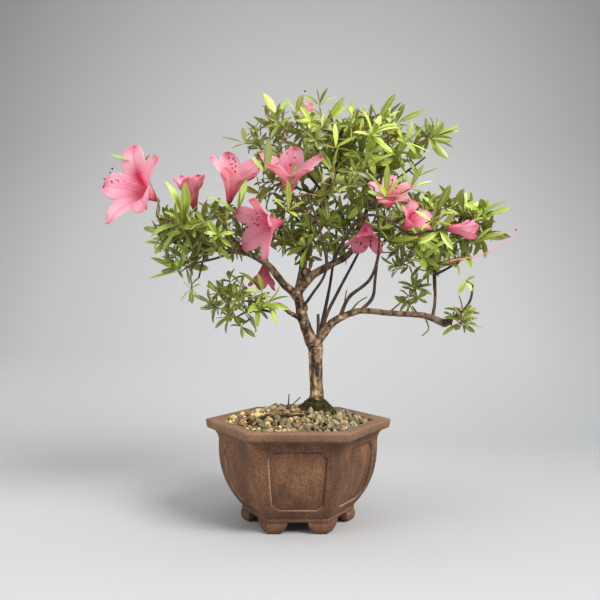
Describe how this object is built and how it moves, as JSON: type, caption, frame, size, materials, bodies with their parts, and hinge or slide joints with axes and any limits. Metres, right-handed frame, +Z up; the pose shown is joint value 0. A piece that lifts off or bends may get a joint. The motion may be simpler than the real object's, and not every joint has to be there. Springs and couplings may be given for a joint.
{
  "type": "flowering azalea bonsai in a hexagonal pot",
  "caption": "Small flowering azalea tree with a forked trunk, leafy shoots and open funnel flowers, growing in a footed hexagonal stoneware pot with sunk side panels.",
  "frame": {"origin": "on the pot's axis, in the plane that its feet stand on", "axes": "+Z up the trunk, +X to a corner of the pot and to the side of the long low branch, -Y to the front, which a flat side of the pot faces"},
  "size_m": [0.3653, 0.2039, 0.3932],
  "materials": {
    "fired_stoneware": "unglazed red-brown stoneware, fine sandy speckle, worn dusty rim",
    "screen_plastic": "black moulded plastic mesh",
    "annealed_wire": "annealed training wire, dull brown-grey",
    "azalea_soil": "moist light azalea soil with peat and bark, about as dense as wood",
    "river_gravel": "cream, ochre and grey-green rounded grit",
    "moss": "dark damp moss over fine roots",
    "dead_wood": "dry grey-brown twig",
    "azalea_bark": "thin brown bark with tan flakes",
    "petal": "soft pink petal with a deeper rose blotch in the throat",
    "flower_stalk": "green-brown stalk, pink filaments and style",
    "azalea_leaf": "small pointed leaf, bright yellow-green to deep green"
  },
  "bodies": {
    "root": {"dead_twig_leaning": "dead_wood", "dead_twig_upright": "dead_wood", "drain_screen": "screen_plastic", "flower_01_corolla": "petal", "flower_01_stalk": "flower_stalk", "flower_02_corolla": "petal", "flower_02_stalk": "flower_stalk", "flower_03_corolla": "petal", "flower_03_stalk": "flower_stalk", "flower_04_corolla": "petal", "flower_04_stalk": "flower_stalk", "flower_05_corolla": "petal", "flower_05_stalk": "flower_stalk", "flower_06_corolla": "petal", "flower_06_stalk": "flower_stalk", "flower_07_corolla": "petal", "flower_07_stalk": "flower_stalk", "flower_08_corolla": "petal", "flower_08_stalk": "flower_stalk", "flower_09_corolla": "petal", "flower_09_stalk": "flower_stalk", "flower_10_corolla": "petal", "flower_10_stalk": "flower_stalk", "flower_11_corolla": "petal", "flower_11_stalk": "flower_stalk", "gravel_bed": "river_gravel", "moss_mound": "moss", "pot": "fired_stoneware", "screen_wire": "annealed_wire", "shoot_arch_twig": "azalea_leaf", "shoot_back_left": "azalea_leaf", "shoot_back_low": "azalea_leaf", "shoot_back_top": "azalea_leaf", "shoot_crown_left": "azalea_leaf", "shoot_crown_mid": "azalea_leaf", "shoot_crown_right": "azalea_leaf", "shoot_hook": "azalea_leaf", "shoot_left_back": "azalea_leaf", "shoot_left_drop": "azalea_leaf", "shoot_left_front": "azalea_leaf", "shoot_left_hang": "azalea_leaf", "shoot_left_low": "azalea_leaf", "shoot_left_tip": "azalea_leaf", "shoot_riser": "azalea_leaf", "shoot_riser_back": "azalea_leaf", "shoot_riser_outer": "azalea_leaf", "shoot_shoulder_left": "azalea_leaf", "shoot_shoulder_right": "azalea_leaf", "shoot_twig_back": "azalea_leaf", "shoot_twig_curl": "azalea_leaf", "shoot_twig_front": "azalea_leaf", "shoot_twig_inner": "azalea_leaf", "shoot_twig_low": "azalea_leaf", "soil": "azalea_soil", "surface_stone_1": "river_gravel", "surface_stone_2": "river_gravel", "surface_stone_3": "river_gravel", "surface_stone_4": "river_gravel", "trunk_and_branches": "azalea_bark"}
  },
  "joints": []
}
